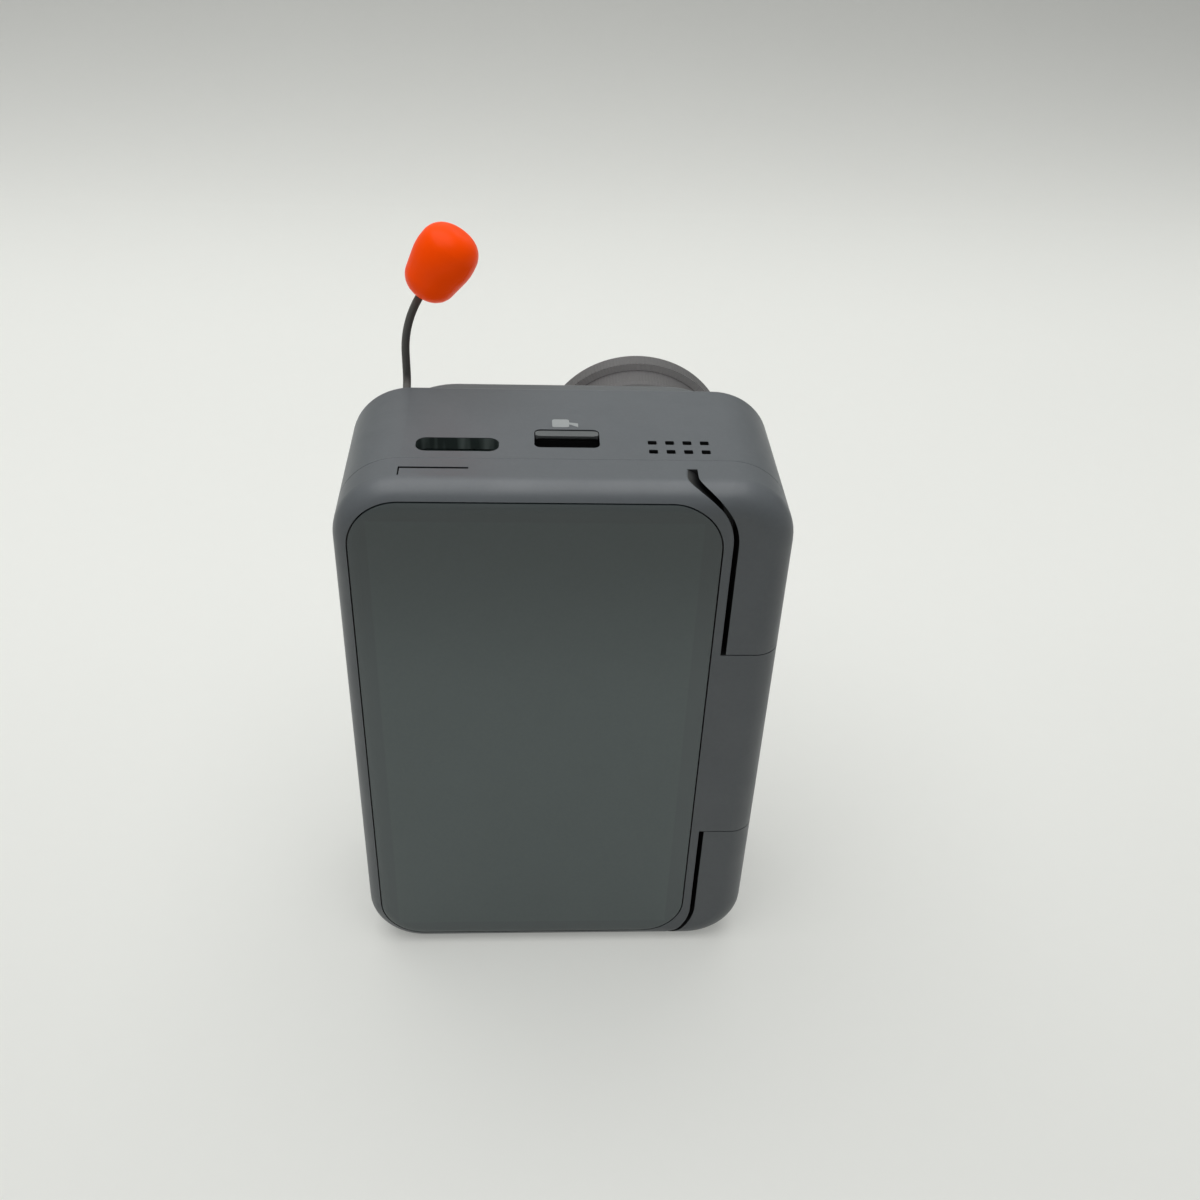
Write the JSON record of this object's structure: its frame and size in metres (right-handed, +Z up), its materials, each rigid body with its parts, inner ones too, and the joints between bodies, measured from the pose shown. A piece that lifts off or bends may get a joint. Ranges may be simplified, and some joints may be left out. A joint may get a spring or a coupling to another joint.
{
  "type": "thumb action camera",
  "caption": "Pocket action camera: a pod with a flip-up touch screen, a square lens module that lifts out of its front, press buttons and a bead on a sprung stalk.",
  "frame": {"origin": "middle of the short end that the pod stands on, under the middle of the pod shell's width and depth", "axes": "+Z up along the pod's long side, +X towards the screen's hinge side, +Y out of the lens; the screen faces -Y"},
  "size_m": [0.0477, 0.0337, 0.0858],
  "materials": {
    "shell_plastic": "fine moulded texture, dark blue-grey",
    "camera_plastic": "fine moulded texture, grey",
    "button_plastic": "satin moulded",
    "inner_plastic": "black moulded",
    "cover_glass": "dark cover glass over a display that is off",
    "clear_glass": "clear, coated",
    "coated_glass": "coated lens glass",
    "guard_metal": "bead-blasted, grey anodised",
    "black_metal": "black anodised",
    "orange_plastic": "satin orange",
    "stalk_rubber": "black sleeve over spring wire",
    "steel": "drawn steel",
    "brass": "turned",
    "black_screw": "black oxide",
    "gold": "gold plated",
    "cell_foil": "pouch cell foil",
    "tape": "foam adhesive",
    "display": "display stack",
    "light_pipe": "clear light pipe",
    "magnet": "nickel plated",
    "circuit_board": "solder mask"
  },
  "bodies": {
    "pod": {"base_switch_board": "circuit_board", "base_switches": "inner_plastic", "bay_contact_block": "inner_plastic", "bay_contact_pins": "gold", "bay_magnets": "magnet", "display_wire": "stalk_rubber", "hinge_pin": "steel", "main_board": "circuit_board", "microphone": "steel", "mount_magnets": "magnet", "mount_strike_plates": "steel", "pod_battery": "cell_foil", "pod_housing": "shell_plastic", "pod_rear_plate": "shell_plastic", "pod_screws": "black_screw", "shutter_switch": "inner_plastic", "side_switch_board": "circuit_board", "speaker": "inner_plastic", "tether_bead": "orange_plastic", "tether_ferrule": "black_metal", "tether_stalk": "stalk_rubber", "usb_receptacle": "steel", "usb_tongue": "inner_plastic"},
    "screen": {"screen_frame": "shell_plastic", "screen_glass": "cover_glass", "glass_tape": "tape", "display_panel": "display", "screen_board": "circuit_board", "screen_back_cover": "shell_plastic", "hinge_bushes": "brass"},
    "release": {"release_button": "button_plastic", "latch_nose": "inner_plastic"},
    "shutter": {"shutter_button": "button_plastic"},
    "power": {"power_button": "button_plastic"},
    "quick": {"quick_button": "button_plastic"},
    "camera": {"camera_rear_shell": "shell_plastic", "camera_front_shell": "camera_plastic", "lens_barrel": "black_metal", "front_lens_element": "coated_glass", "inner_lens_elements": "coated_glass", "sensor_board": "circuit_board", "image_sensor": "coated_glass", "sensor_connector": "inner_plastic", "camera_board": "circuit_board", "camera_battery": "cell_foil", "camera_magnets": "magnet", "camera_contacts": "gold", "status_light": "light_pipe", "camera_switch": "steel"},
    "camera_button": {"camera_button": "camera_plastic"},
    "lens_guard": {"lens_guard_ring": "guard_metal", "lens_guard_glass": "clear_glass"}
  },
  "joints": [
    {"name": "screen_flip", "type": "hinge", "parent": "pod", "child": "screen", "pos_m": [0.0208, -0.0082, 0.03415], "axis": [0, 0, 1], "range_deg": [0, 180]},
    {"name": "camera_eject", "type": "slide", "parent": "pod", "child": "camera", "axis": [0, 1, 0], "range_m": [0, 0.012]},
    {"name": "lens_guard_twist", "type": "hinge", "parent": "camera", "child": "lens_guard", "pos_m": [0.0092, 0.0196, 0.0556], "axis": [0, 1, 0], "range_deg": [0, 45]},
    {"name": "release_press", "type": "slide", "parent": "pod", "child": "release", "axis": [0, 0, -1], "range_m": [0, 0.0008], "stiffness_N_per_m": 900, "springref_m": -0.0003},
    {"name": "shutter_press", "type": "slide", "parent": "pod", "child": "shutter", "axis": [-1, 0, 0], "range_m": [0, 0.00035], "stiffness_N_per_m": 900, "springref_m": -0.0003},
    {"name": "power_press", "type": "slide", "parent": "pod", "child": "power", "axis": [0, 0, 1], "range_m": [0, 0.00035], "stiffness_N_per_m": 900, "springref_m": -0.0003},
    {"name": "quick_press", "type": "slide", "parent": "pod", "child": "quick", "axis": [0, 0, 1], "range_m": [0, 0.00035], "stiffness_N_per_m": 900, "springref_m": -0.0003},
    {"name": "camera_button_press", "type": "slide", "parent": "camera", "child": "camera_button", "axis": [0, -1, 0], "range_m": [0, 0.00035], "stiffness_N_per_m": 900, "springref_m": -0.0003}
  ]
}
